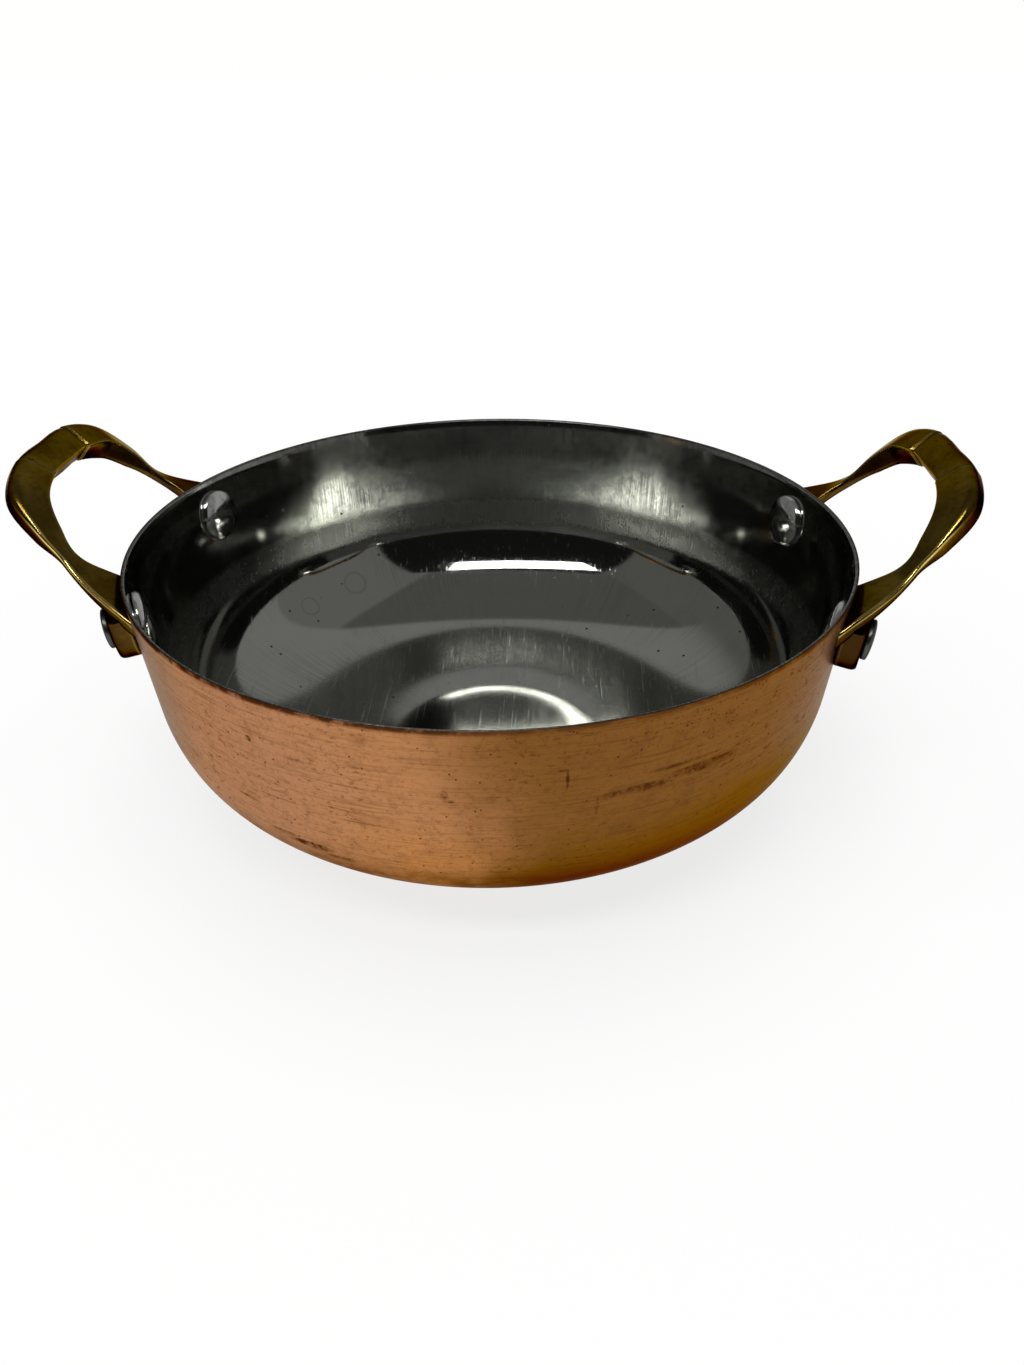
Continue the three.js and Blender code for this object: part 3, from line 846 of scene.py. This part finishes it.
def smooth_path(points, place):
    """A centripetal spline through points at a place counted in points, with its direction."""
    points = np.asarray(points, float)
    points = np.vstack([2 * points[0] - points[1], points, 2 * points[-1] - points[-2]])
    span = min(int(place), len(points) - 4)
    p0, p1, p2, p3 = points[span:span + 4]
    gaps = ((p0, p1), (p1, p2), (p2, p3))
    d0, d1, d2 = (max(np.linalg.norm(b - a), 1e-9) ** 0.5 for a, b in gaps)
    m1 = ((p1 - p0) / d0 - (p2 - p0) / (d0 + d1) + (p2 - p1) / d1) * d1
    m2 = ((p2 - p1) / d1 - (p3 - p1) / (d1 + d2) + (p3 - p2) / d2) * d1
    c2 = -3 * p1 + 3 * p2 - 2 * m1 - m2
    c3 = 2 * p1 - 2 * p2 + m1 + m2
    t = place - span
    return p1 + m1 * t + c2 * t * t + c3 * t ** 3, m1 + 2 * c2 * t + 3 * c3 * t * t


def smooth_row(rows, place):
    """Sizes between corners, passing smoothly through each corner's own."""
    rows = np.vstack([rows[0], rows, rows[-1]])
    span = min(int(place), len(rows) - 4)
    a, b, c, d = rows[span:span + 4]
    t = place - span
    return b + 0.5 * t * (c - a + t * (2 * a - 5 * b + 4 * c - d + t * (3 * (b - c) + d - a)))


def half_strap(body, rivets, sizes):
    """Stations from the middle of the bow to the +Y seat on the wall, for the handle on +X. Each has a
    place, a direction, a thickness direction, a width, a thickness, the rounding of the outer top edge,
    a twist that lowers the outer edge, a share of tarnish and painted shade, below nothing for wear, and
    the painted shade on the sides. The band is sunk, with a groove and a worn lip where it ends."""
    bearing = rivet_bearing(body, rivets)
    tangent = np.array([-math.sin(bearing), math.cos(bearing), 0.0])
    facing = np.array([math.sin(sizes.tilt), 0.0, -math.cos(sizes.tilt)])

    def on_loop(setback, spread):
        return np.array([
            body.rim_diameter / 2 + sizes.reach - setback * math.cos(sizes.tilt), spread / 2,
            body.height + sizes.rise - setback * math.sin(sizes.tilt),
        ])

    neck = on_loop(sizes.neck_setback, sizes.neck_spread)
    seat = wall_point(body, bearing, body.height - sizes.seat_drop)
    bow = (facing, sizes.bow_width, sizes.bow_thickness, sizes.bow_edge, sizes.bow_twist, 0.0)
    corners = [
        (on_loop(-sizes.bow_crown, 0.0), *bow),
        (on_loop(0.0, sizes.band), *bow),
        (on_loop(sizes.shoulder_setback, sizes.shoulder_spread), facing, sizes.shoulder_width,
         sizes.bow_thickness, sizes.bow_edge * 0.8, sizes.arm_twist, 0.0),
        (on_loop(sizes.arm_setback, sizes.arm_spread), facing, sizes.arm_width,
         sizes.arm_thickness, sizes.top_edge, sizes.arm_twist, 0.0),
        (neck, facing, sizes.neck_width,
         sizes.neck_thickness, sizes.top_edge, sizes.arm_twist, 0.2),
        (seat, unit(np.cross(seat - neck, tangent)), sizes.seat_width,
         sizes.seat_thickness, sizes.seat_edge, sizes.seat_twist, 0.5),
    ]
    places = [corner[0] for corner in corners]
    guides = [on_loop(0.0, -sizes.band), *places, seat + (seat - neck) * 0.4]
    rows = [np.hstack(corner[1:]) for corner in corners]
    lip = sizes.lip / (sizes.band / 2)
    sunk_band = [(place, sizes.band_step, 0.0) for place in (0.0, 0.25, 0.5, 0.75, 1.0 - 4.0 * lip)]
    groove = [(1.0 - lip, sizes.groove, 0.5), (1.0 + lip, 0.0, -0.6)]
    spans = (len(corners) - 2) * sizes.span_steps
    arm = [(1.0 + step / sizes.span_steps, 0.0, 0.0) for step in range(1, spans + 1)]
    stations = []
    for place, sunk, stain in sunk_band + groove + arm:
        at, along = smooth_path(guides, place + 1.0)
        *normal, width, thickness, edge, twist, tarnish = smooth_row(rows, place)
        normal = unit(np.array(normal))
        stations.append((at + normal * sunk, unit(along), normal, width - 2 * sunk,
                         thickness - 2 * sunk, edge, twist, stain or tarnish, sizes.side_painted_shade))
    return stations


def foot_plate(body, rivets, sizes):
    """Stations of the +Y foot, from its top, which slopes as the strap does, to its round end."""
    bearing = rivet_bearing(body, rivets)
    normal = wall_normal(body, bearing)

    def on_foot(rise):
        height = body.height - rivets.drop + rise * math.cos(body.wall_taper)
        return wall_point(body, bearing, height) - normal * sizes.foot_sink

    down = unit(on_foot(0.0) - on_foot(sizes.foot_top))
    stations = []
    for t in np.linspace(0.0, 1.0, sizes.top_steps, endpoint=False):
        width = sizes.seat_width + (sizes.foot_width - sizes.seat_width) * t
        lean = sizes.seat_twist * (1 - t)
        slope = down * math.cos(lean) - np.cross(normal, down) * math.sin(lean)
        stations.append((on_foot(sizes.foot_top * (1 - t)), slope, normal, width, sizes.foot_tarnish_and_shade))
    for step in range(sizes.end_steps + 1):
        t = math.sin(step / sizes.end_steps * math.pi / 2)
        width = sizes.foot_width * math.sqrt(1 - sizes.end_rounding * t * t)
        tarnish = sizes.foot_tarnish_and_shade - 0.6 * t ** 4
        stations.append((on_foot(-sizes.foot_below * t), down, normal, width, tarnish))
    return [(*place, sizes.foot_thickness, sizes.top_edge, 0.0, tarnish, 0.0)
            for *place, tarnish in stations]


def mirrored(station):
    at, along, normal, *rest = station
    return (at * FLIP, -along * FLIP, normal * FLIP, *rest)


def section(station, sizes):
    """Points round the strap at a station, each with its shares of edge wear and of tarnish with painted
    shade.
    """
    at, along, normal, width, thickness, outer_edge, twist, tarnish, side_painted_shade = station
    across = unit(np.cross(normal, along))
    across, normal = (across * math.cos(twist) + normal * math.sin(twist),
                      normal * math.cos(twist) - across * math.sin(twist))
    half = width / 2
    outer = min(outer_edge, half * 0.6, thickness * 0.45)
    inner = min(sizes.top_edge, half * 0.4)
    back = min(sizes.back_edge, half * 0.8, thickness * 0.6)
    crisp = min(1.0, sizes.top_edge / outer)

    def corner(side, down, radius, first, wear):
        turns = [math.radians(first + degrees) for degrees in (0.0, 22.5, 45.0, 67.5, 90.0)]
        return [(side + radius * math.cos(turn), down + radius * math.sin(turn), wear) for turn in turns]

    def below(edge, part):
        return edge + (thickness - back - edge) * part

    points = [
        (-0.5 * half, 0.0, 0.0),
        (0.0, 0.0, 0.0),
        (0.4 * half, 0.0, 0.0),
        (half - outer - min(sizes.top_edge, half * 0.2), 0.0, 0.25 * crisp),
        *corner(half - outer, outer, outer, -90.0, crisp),
        (half, below(outer, 0.2), 0.25 * crisp),
        (half, below(outer, 0.6), 0.0),
        *corner(half - back, thickness - back, back, 0.0, 0.1),
        (0.0, thickness, 0.0),
        *corner(-half + back, thickness - back, back, 90.0, 0.1),
        (-half, below(inner, 0.6), 0.0),
        (-half, below(inner, 0.2), 0.2),
        *corner(-half + inner, inner, inner, 180.0, 0.4),
        (-half + inner * 2.2, 0.0, 0.2),
    ]
    # The second share is tarnish and painted shade: points down the sides and on the back get the sides'
    # painted shade.
    return [(at + across * side + normal * down, max(wear, -tarnish),
             max(tarnish, side_painted_shade * min(1.0, down / (0.4 * thickness))))
            for side, down, wear in points]


# The strap's ends stop this far outside the wall. The search for it goes this far back and ahead.
SEAT_GAP = 0.05 * MM
SEARCH_BACK, SEARCH_AHEAD, SEARCH_STEPS = -8.0 * MM, 16.0 * MM, 40


def way_to_wall(body, point, direction):
    """How far a point must move along a direction to meet the outside of the wall."""
    low, high = SEARCH_BACK, SEARCH_AHEAD
    for _ in range(SEARCH_STEPS):
        middle = (low + high) / 2
        x, y, z = point + direction * middle
        if math.hypot(x, y) > wall_radius(body, z) + SEAT_GAP:
            low = middle
        else:
            high = middle
    return low


def swept(rings):
    """Samples and faces of a closed strap through rings of samples."""
    width = len(rings[0])
    last = (len(rings) - 1) * width
    faces = [(row + column, row + (column + 1) % width, row + (column + 1) % width + width,
              row + column + width)
             for row in range(0, last, width) for column in range(width)]
    faces.append(tuple(range(width))[::-1])
    faces.append(tuple(range(last, last + width)))
    return [sample for ring in rings for sample in ring], faces


def strap_rings(body, rivets, sizes):
    """Sections of the whole loop from seat to seat, the ends cut to the wall."""
    near = half_strap(body, rivets, sizes)
    rings = [section(station, sizes) for station in near]
    gaps = [way_to_wall(body, point, near[-1][1]) for point, wear, stain in rings[-1]]
    for step in range(1, sizes.span_steps + 1):
        index = step - sizes.span_steps - 1
        lean = near[index][1] * (step / sizes.span_steps) ** 2
        rings[index] = [(point + lean * gap, wear, stain)
                        for (point, wear, stain), gap in zip(rings[index], gaps)]
    far = [[(point * FLIP, wear, stain) for point, wear, stain in ring] for ring in rings[:0:-1]]
    return far + rings


def handle_mesh(name, body, rivets, sizes, turn):
    """The loop and its two feet as closed bodies in one mesh."""
    foot = foot_plate(body, rivets, sizes)
    far_foot = [mirrored(station) for station in foot][::-1]
    bodies = [strap_rings(body, rivets, sizes)]
    bodies += [[section(station, sizes) for station in plate] for plate in (foot, far_foot)]
    spin = np.array(Matrix.Rotation(turn, 3, "Z"))
    samples, faces = [], []
    for rings in bodies:
        points, sides = swept(rings)
        faces += [tuple(index + len(samples) for index in side) for side in sides]
        samples += points
    mesh = bpy.data.meshes.new(name)
    mesh.from_pydata([tuple(spin @ point) for point, wear, stain in samples], [], faces)
    for label, place in (("edge_wear", 1), ("tarnish_and_shade", 2)):
        layer = mesh.attributes.new(label, "FLOAT", "POINT")
        layer.data.foreach_set("value", [sample[place] for sample in samples])
    mesh.polygons.foreach_set("use_smooth", [True] * len(mesh.polygons))
    mesh.set_sharp_from_angle(angle=HANDLE_CREASE)
    return mesh


# Rivets

def rivet_profile(body, rivets, foot_thickness):
    """Half outline of a rivet along its axis: zero is the outer face of the wall."""
    inner_seat, outer_seat = rivets.inner_sink - body.wall, foot_thickness - rivets.outer_sink
    heads = (
        (-1.0, inner_seat, rivets.inner_head, rivets.inner_height, rivets.inner_edge),
        (1.0, outer_seat, rivets.outer_head, rivets.outer_height, rivets.outer_edge),
    )
    halves = []
    for direction, seat, diameter, tall, edge in heads:
        radius, ease = diameter / 2, rivets.edge_round
        points = [(rivets.shank / 2, seat), (radius - ease, seat), (radius, seat + direction * ease)]
        for step in range(rivets.dome_steps + 1):
            turn = step / rivets.dome_steps * math.pi / 2
            level = seat + direction * (edge + (tall - edge) * math.sin(turn))
            points.append((radius * math.cos(turn), level))
        points[-1] = (0.0, points[-1][1])
        halves.append(points)
    return halves[0][::-1] + halves[1]


# Operators

class GRATINPAN_OT_copper_shell(bpy.types.Operator):
    """Turn the copper shell"""
    bl_idname = "gratin_pan.copper_shell"
    bl_label = "Copper Shell"

    def execute(self, context):
        body = settings().body
        outside = profile_at_depth(body, np.zeros(len(outer_profile(body))))
        inside = profile_at_depth(body, joint_depths(body, 0.0))
        outline = eased_rim(body, outside, inside, body.rim_edge)
        piece = turned_piece("copper_body", outline, body, copper_finish(settings().finishes))
        settle(piece, "copper", "copper_shell")
        return {"FINISHED"}


class GRATINPAN_OT_steel_lining(bpy.types.Operator):
    """Turn the steel lining"""
    bl_idname = "gratin_pan.steel_lining"
    bl_label = "Steel Lining"

    def execute(self, context):
        body = settings().body
        outside = profile_at_depth(body, joint_depths(body, body.bond))
        inside = profile_at_depth(body, lining_depths(body))
        outline = eased_rim(body, outside, inside, body.rim_round)
        piece = turned_piece("lining", outline, body, steel_finish(settings().finishes))
        settle(piece, "lining_steel", "steel_lining")
        return {"FINISHED"}


class GRATINPAN_OT_handles(bpy.types.Operator):
    """Cast both handles"""
    bl_idname = "gratin_pan.handles"
    bl_label = "Handles"

    def execute(self, context):
        pan = settings()
        material = brass_finish(pan.finishes)
        for side, turn in SIDES.items():
            name = f"handle_{side}"
            mesh = handle_mesh(name, pan.body, pan.rivets, pan.handles, turn)
            mesh.materials.append(material)
            settle(shown(name, mesh), "handle_brass", f"{side}_handle")
        return {"FINISHED"}


class GRATINPAN_OT_rivets(bpy.types.Operator):
    """Set the four rivets"""
    bl_idname = "gratin_pan.rivets"
    bl_label = "Rivets"

    def execute(self, context):
        pan = settings()
        outline = rivet_profile(pan.body, pan.rivets, pan.handles.foot_thickness)
        points = [(radius, 0.0, level) for radius, level in outline]
        normals = [(0.0, 0.0, 1.0)] * len(points)
        marks = [0.0] * len(points)
        angle_out = rivet_bearing(pan.body, pan.rivets)
        height = pan.body.height - pan.rivets.drop
        for turn in SIDES.values():
            for bearing in (turn + angle_out, turn - angle_out):
                points.append(wall_point(pan.body, bearing, height))
                normals.append(wall_normal(pan.body, bearing))
                marks.append(1.0)
        mesh = row_mesh("rivets", points)
        normal_layer = mesh.attributes.new("wall_normal", "FLOAT_VECTOR", "POINT")
        normal_layer.data.foreach_set("vector", np.ravel(normals))
        mesh.attributes.new("is_place", "FLOAT", "POINT").data.foreach_set("value", marks)
        piece = grown("rivets", mesh, rivet_tree(), {
            "Segments": pan.rivets.segments, "Crease": RIVET_CREASE,
            "Material": rivet_finish(pan.finishes),
        })
        nodes = [f"{side}_{place}_rivet" for side in SIDES for place in ("front", "rear")]
        settle(piece, "rivet_steel", *nodes)
        return {"FINISHED"}


# Stage

FLOOR_CORNERS = 96
FLOOR_COLOUR = (0.94, 0.94, 0.935, 1.0)
# Distances from the pan's middle, in metres, over which the floor's glow becomes full
GLOW_REACH = (0.10, 0.22)


def floor_finish(glow):
    """White in view and in reflections, with a share left for the object's shadow."""
    material = bpy.data.materials.new("pale_floor")
    material.use_nodes = True
    tree = material.node_tree
    tree.nodes.remove(tree.nodes["Principled BSDF"])
    rays = add_node(tree, "ShaderNodeLightPath").outputs
    seen = largest([Value(rays[f"Is {kind} Ray"]) for kind in ("Camera", "Glossy", "Transmission")])
    away = output(tree, "ShaderNodeTexCoord", name="Object").vector("LENGTH")
    lit = output(tree, "ShaderNodeBsdfDiffuse", {"Color": FLOOR_COLOUR})
    white = output(tree, "ShaderNodeEmission", {"Color": (1.0, 1.0, 1.0, 1.0), "Strength": 1.0})
    blend = output(tree, "ShaderNodeMixShader", {
        0: seen * away.ramp(*GLOW_REACH, glow, 1.0), 1: lit, 2: white,
    })
    set_inputs(tree.nodes["Material Output"], {"Surface": blend})
    return material


# The room over the pan. Walls and ceiling are told apart by the slopes x/z and y/z of a direction.
CEILING_LEFT, CEILING_RIGHT, CEILING_BACK, FRONT_SLOPE = -0.70, 0.38, 0.47, -0.42
# Bearings in radians, and how soft the edges of these areas are
FRONT_LEFT, FRONT_RIGHT, FRONT_SOFT = np.radians((-55.0, 50.0, 1.2))
BACKDROP_LEFT, BACKDROP_RIGHT, BACKDROP_SOFT = np.radians((115.0, 245.0, 8.0))
EDGE, FRONT_EDGE = 0.03, 0.02
# Rises over which the front begins and the backdrop ends
FRONT_FOOT, BACKDROP_TOP = (0.02, 0.05), (0.075, 0.045)
# Brightness of each area, and blue against red and green
CEILING, LEFT_WALL, RIGHT_WALL, BACK_WALL, FRONT, BACKDROP = 0.115, 0.135, 0.185, 0.26, 0.01, 1.0
ROOM_BLUE = 0.98


def studio_world(scene):
    """A dim room over a white floor: dark ceiling and front, lighter walls, a white backdrop."""
    world = bpy.data.worlds.new("studio")
    world.use_nodes = True
    tree = world.node_tree
    x, y, up = output(tree, "ShaderNodeTexCoord", name="Generated").parts()
    bearing = from_front(x, y)
    all_round = maths("FLOORED_MODULO", bearing, math.tau)
    rise = up | 0.02
    aside, behind = x / rise, y / rise
    at_back = behind.ramp(CEILING_BACK - EDGE, CEILING_BACK + EDGE)
    at_back = at_back * aside.ramp(CEILING_LEFT - 0.5, CEILING_LEFT + 0.2)
    overhead = aside.between(CEILING_LEFT, CEILING_RIGHT, EDGE)
    overhead = overhead * behind.ramp(CEILING_BACK + EDGE, CEILING_BACK - EDGE)
    in_front = bearing.between(FRONT_LEFT, FRONT_RIGHT, FRONT_SOFT)
    in_front = in_front * behind.ramp(FRONT_SLOPE + FRONT_EDGE, FRONT_SLOPE - FRONT_EDGE)
    in_front = in_front * up.ramp(*FRONT_FOOT)
    backdrop = all_round.between(BACKDROP_LEFT, BACKDROP_RIGHT, BACKDROP_SOFT) * up.ramp(*BACKDROP_TOP)
    areas = ((at_back, BACK_WALL), (overhead, CEILING), (in_front, FRONT), (backdrop, BACKDROP))
    level = aside.ramp(CEILING_RIGHT - EDGE, CEILING_RIGHT + EDGE, LEFT_WALL, RIGHT_WALL)
    for mask, brightness in areas:
        level = level + mask * (brightness - level)
    set_inputs(tree.nodes["Background"], {
        "Color": combine(level, level, level * ROOM_BLUE), "Strength": 1.0,
    })
    scene.world = world


def lamp(name, width, depth, watts, place):
    """A lamp aimed at the middle of the pan's base."""
    data = bpy.data.lights.new(name, "AREA")
    data.shape = "RECTANGLE"
    data.size, data.size_y = width, depth
    data.energy = watts
    made = bpy.data.objects.new(name, data)
    bpy.context.scene.collection.objects.link(made)
    made.location = place
    made.rotation_euler = (Vector() - made.location).to_track_quat("-Z", "Y").to_euler()
    return made


# Camera: where it stands in the pan's frame, and its aim as yaw, pitch and roll in degrees
CAMERA_PLACE = (0.0157, -0.2142, 0.1528)
CAMERA_AIM = (-3.03, 32.1, -0.65)
SENSOR_WIDTH = 36.0


def studio_camera(scene, lens):
    yaw, pitch, roll = np.radians(CAMERA_AIM)
    level = math.cos(pitch)
    forward = Vector((math.sin(yaw) * level, math.cos(yaw) * level, -math.sin(pitch)))
    right = forward.cross(Vector((0.0, 0.0, 1.0))).normalized()
    up = right.cross(forward)
    right, up = (right * math.cos(roll) + up * math.sin(roll),
                 up * math.cos(roll) - right * math.sin(roll))
    data = bpy.data.cameras.new("camera")
    data.lens = lens
    data.sensor_width = SENSOR_WIDTH
    data.sensor_fit = "AUTO"
    data.clip_start = 0.01
    camera = bpy.data.objects.new("camera", data)
    axes = Matrix((right, up, -forward)).transposed()
    camera.matrix_world = Matrix.Translation(CAMERA_PLACE) @ axes.to_4x4()
    scene.collection.objects.link(camera)
    scene.camera = camera


class GRATINPAN_OT_stage(bpy.types.Operator):
    """Set the floor, the light and the camera"""
    bl_idname = "gratin_pan.stage"
    bl_label = "Stage"

    def execute(self, context):
        scene, stage = context.scene, settings().stage
        scene.view_settings.view_transform = "Standard"
        rim = [(stage.floor_radius * math.cos(turn), stage.floor_radius * math.sin(turn), 0.0)
               for turn in np.linspace(0.0, math.tau, FLOOR_CORNERS, endpoint=False)]
        mesh = bpy.data.meshes.new("floor")
        mesh.from_pydata(rim, [], [tuple(range(len(rim)))])
        mesh.materials.append(floor_finish(stage.floor_glow))
        shown("floor", mesh)
        studio_world(scene)
        strip = lamp("strip_light", stage.strip_length, stage.strip_width, stage.strip_power,
                     (-stage.strip_aside, -stage.strip_distance, stage.strip_height))
        strip.rotation_euler = (0.0, 0.0, stage.strip_turn)
        over = lamp("floor_light", stage.fill_size, stage.fill_size, stage.fill_power,
                    (0.0, stage.fill_back, stage.fill_height))
        over.visible_glossy = False
        studio_camera(scene, stage.lens)
        return {"FINISHED"}


class GRATINPAN_PT_sidebar(bpy.types.Panel):
    """Sizes, finishes and steps of the pan"""
    bl_idname = "GRATINPAN_PT_sidebar"
    bl_label = "Gratin Pan"
    bl_space_type = "VIEW_3D"
    bl_region_type = "UI"
    bl_category = "Gratin Pan"

    def draw(self, context):
        for operator in STEPS:
            self.layout.operator(operator.bl_idname)
        for group in ("body", "rivets", "handles", "finishes", "stage"):
            box = self.layout.box()
            box.label(text=group.capitalize())
            values = getattr(settings(), group)
            for name in values.__annotations__:
                box.prop(values, name)


GROUPS = (PanBodySizes, RivetSizes, HandleSizes, PanFinishes, StageSettings, GratinPanSettings)
STEPS = (
    GRATINPAN_OT_copper_shell,
    GRATINPAN_OT_steel_lining,
    GRATINPAN_OT_handles,
    GRATINPAN_OT_rivets,
    GRATINPAN_OT_stage,
)
CLASSES = (*GROUPS, *STEPS, GRATINPAN_PT_sidebar)


def register():
    for item in CLASSES:
        bpy.utils.register_class(item)
    bpy.types.Scene.gratin_pan = PointerProperty(type=GratinPanSettings)


def unregister():
    del bpy.types.Scene.gratin_pan
    for item in reversed(CLASSES):
        bpy.utils.unregister_class(item)


def main():
    register()
    bpy.ops.gratin_pan.copper_shell()
    bpy.ops.gratin_pan.steel_lining()
    bpy.ops.gratin_pan.handles()
    bpy.ops.gratin_pan.rivets()
    bpy.ops.gratin_pan.stage()


if __name__ == "__main__":
    main()
